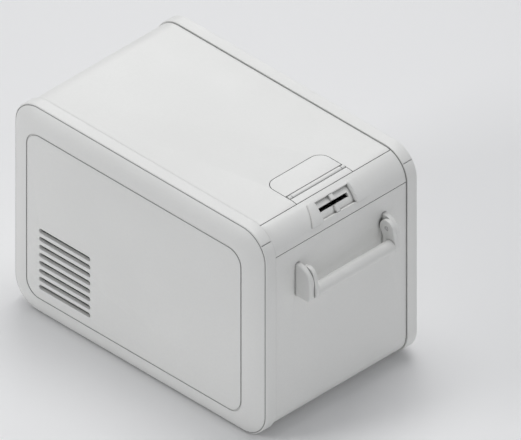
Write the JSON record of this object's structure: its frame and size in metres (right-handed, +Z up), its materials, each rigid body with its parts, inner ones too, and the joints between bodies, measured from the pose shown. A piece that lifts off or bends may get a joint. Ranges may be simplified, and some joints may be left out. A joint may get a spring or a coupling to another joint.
{
  "type": "label maker",
  "caption": "Desktop label maker: box body between crowned side covers, hinged lid, exit flap, fold-out bail handle and side vent.",
  "frame": {"origin": "middle of the footprint, on the surface the rubber feet stand on", "axes": "+X towards the front with the handle, +Y towards the right-hand cover, +Z up"},
  "size_m": [0.234, 0.1442, 0.1562],
  "materials": {
    "shell_plastic": "fine moulded texture",
    "handle_plastic": "fine moulded texture",
    "grip_plastic": "soft satin",
    "dark_plastic": "matte",
    "button_plastic": "satin",
    "gear_plastic": "acetal, satin",
    "steel_sheet": "zinc-plated sheet",
    "steel_bright": "bright",
    "motor_steel": "satin",
    "heatsink_aluminium": "extruded",
    "head_ceramic": "glazed ceramic",
    "platen_rubber": "ground rubber",
    "foot_rubber": "matte",
    "label_paper": "coated paper",
    "board": "solder mask",
    "socket_black": "matte",
    "light_guide": "clear moulded"
  },
  "bodies": {
    "chassis": {"base_tray": "shell_plastic", "board_screws": "steel_bright", "button_board": "board", "cover_screws": "steel_bright", "cutter_bridge": "steel_sheet", "cutter_fixed_blade": "steel_bright", "cutter_motor": "motor_steel", "data_socket": "socket_black", "exit_bezel": "shell_plastic", "exit_guide": "shell_plastic", "fan_frame": "dark_plastic", "feed_button_spring": "steel_bright", "feed_motor": "motor_steel", "flap_pin": "steel_bright", "front_panel": "shell_plastic", "handle_bracket_left": "handle_plastic", "handle_bracket_right": "handle_plastic", "handle_pivot_pins": "steel_bright", "handle_screws": "steel_bright", "head_crossbar": "steel_sheet", "head_heatsink": "heatsink_aluminium", "head_springs": "steel_bright", "idler_axle": "steel_bright", "label_guide": "dark_plastic", "left_cover": "shell_plastic", "lid_hinge_pins": "steel_bright", "light_pipe": "light_guide", "main_board": "board", "mech_plate_left": "steel_sheet", "mech_plate_right": "steel_sheet", "platen_bushes": "gear_plastic", "power_board": "board", "power_button_spring": "steel_bright", "power_inlet": "socket_black", "print_head": "head_ceramic", "rear_panel": "shell_plastic", "right_cover": "shell_plastic", "rubber_feet": "foot_rubber", "side_frame_left": "steel_sheet", "side_frame_right": "steel_sheet", "spool_shaft": "steel_bright", "switch_body": "dark_plastic"},
    "lid": {"lid": "shell_plastic"},
    "exit_flap": {"exit_flap": "shell_plastic"},
    "handle": {"bail_handle": "handle_plastic", "handle_grip": "grip_plastic"},
    "platen": {"platen_shaft": "steel_bright", "platen_roller": "platen_rubber", "platen_gear": "gear_plastic"},
    "idler": {"idler_gear": "gear_plastic"},
    "feed_drive": {"feed_pinion": "gear_plastic"},
    "spool": {"label_roll": "label_paper", "label_spool": "dark_plastic"},
    "cutter": {"cutter_blade": "steel_bright", "cutter_rack": "dark_plastic"},
    "cutter_drive": {"cutter_pinion": "gear_plastic"},
    "fan": {"fan_impeller": "dark_plastic"},
    "rocker": {"switch_rocker": "dark_plastic"},
    "power_key": {"power_button": "button_plastic"},
    "feed_key": {"feed_button": "button_plastic"}
  },
  "joints": [
    {"name": "lid_hinge", "type": "hinge", "parent": "chassis", "child": "lid", "pos_m": [-0.1147, 0, 0.128], "axis": [0, -1, 0], "range_deg": [0, 80]},
    {"name": "flap_hinge", "type": "hinge", "parent": "chassis", "child": "exit_flap", "pos_m": [0.0803, 0, 0.154], "axis": [0, 1, 0], "range_deg": [0, 110]},
    {"name": "handle_hinge", "type": "hinge", "parent": "chassis", "child": "handle", "pos_m": [0.1088, 0, 0.1172], "axis": [0, -1, 0], "range_deg": [0, 90]},
    {"name": "platen_spin", "type": "hinge", "parent": "chassis", "child": "platen", "pos_m": [0.072, 0, 0.122], "axis": [0, 1, 0], "continuous": true},
    {"name": "idler_spin", "type": "hinge", "parent": "chassis", "child": "idler", "pos_m": [0.06482, 0.0355, 0.10227], "axis": [0, 1, 0], "continuous": true},
    {"name": "feed_motor_spin", "type": "hinge", "parent": "chassis", "child": "feed_drive", "pos_m": [0.06482, 0.0355, 0.08727], "axis": [0, 1, 0], "continuous": true},
    {"name": "spool_spin", "type": "hinge", "parent": "chassis", "child": "spool", "pos_m": [-0.015, 0, 0.092], "axis": [0, 1, 0], "continuous": true},
    {"name": "cutter_slide", "type": "slide", "parent": "chassis", "child": "cutter", "axis": [0, 0, 1], "range_m": [0, 0.014]},
    {"name": "cutter_motor_spin", "type": "hinge", "parent": "chassis", "child": "cutter_drive", "pos_m": [0.0764, 0.027, 0.1], "axis": [0, 1, 0], "range_deg": [-150, 10]},
    {"name": "fan_spin", "type": "hinge", "parent": "chassis", "child": "fan", "pos_m": [-0.0675, -0.065, 0.04725], "axis": [0, 1, 0], "continuous": true},
    {"name": "rocker_tilt", "type": "hinge", "parent": "chassis", "child": "rocker", "pos_m": [-0.1126, 0.04, 0.034], "axis": [0, 1, 0], "range_deg": [0, 16]},
    {"name": "power_press", "type": "slide", "parent": "chassis", "child": "power_key", "axis": [0, -1, 0], "range_m": [0, 0.001], "stiffness_N_per_m": 800, "springref_m": -0.001, "deforming": ["power_button_spring"]},
    {"name": "feed_press", "type": "slide", "parent": "chassis", "child": "feed_key", "axis": [0, -1, 0], "range_m": [0, 0.001], "stiffness_N_per_m": 800, "springref_m": -0.001, "deforming": ["feed_button_spring"]}
  ],
  "couplings": [
    {"joint": "idler_spin", "follows": "platen_spin", "ratio": -1.3333},
    {"joint": "feed_motor_spin", "follows": "platen_spin", "ratio": 2},
    {"joint": "cutter_motor_spin", "follows": "cutter_slide", "rad_per_m": -178.57}
  ]
}
